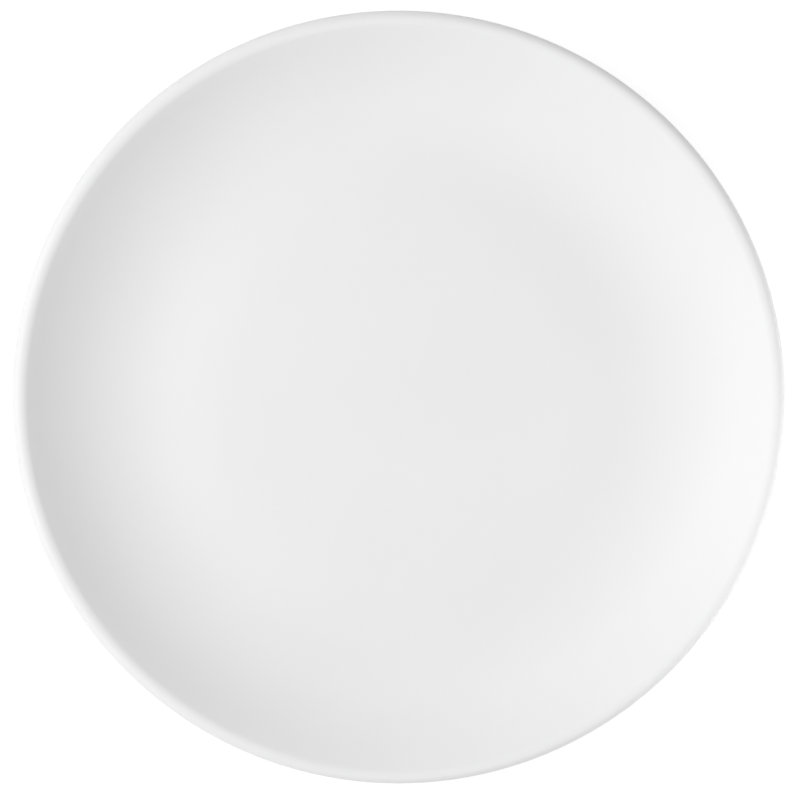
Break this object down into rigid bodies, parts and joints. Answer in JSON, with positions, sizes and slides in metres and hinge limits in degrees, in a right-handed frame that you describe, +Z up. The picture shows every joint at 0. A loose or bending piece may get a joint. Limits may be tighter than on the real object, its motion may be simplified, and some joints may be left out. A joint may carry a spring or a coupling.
{
  "type": "coupe dinner plate",
  "caption": "Round rimless coupe dinner plate with a gently crowned well, a curved wall, a rounded lip and a low foot ring, for serving a main course.",
  "frame": {"origin": "centre of the foot ring's standing plane, on the table", "axes": "+Z up along the plate's axis, from the table to the eating face; X and Y lie in the table"},
  "size_m": [0.27, 0.27, 0.0245],
  "materials": {
    "porcelain": "matte",
    "glaze": "gloss"
  },
  "bodies": {
    "root": {"porcelain_body": "porcelain", "face_glaze": "glaze", "base_glaze": "glaze"}
  },
  "joints": []
}
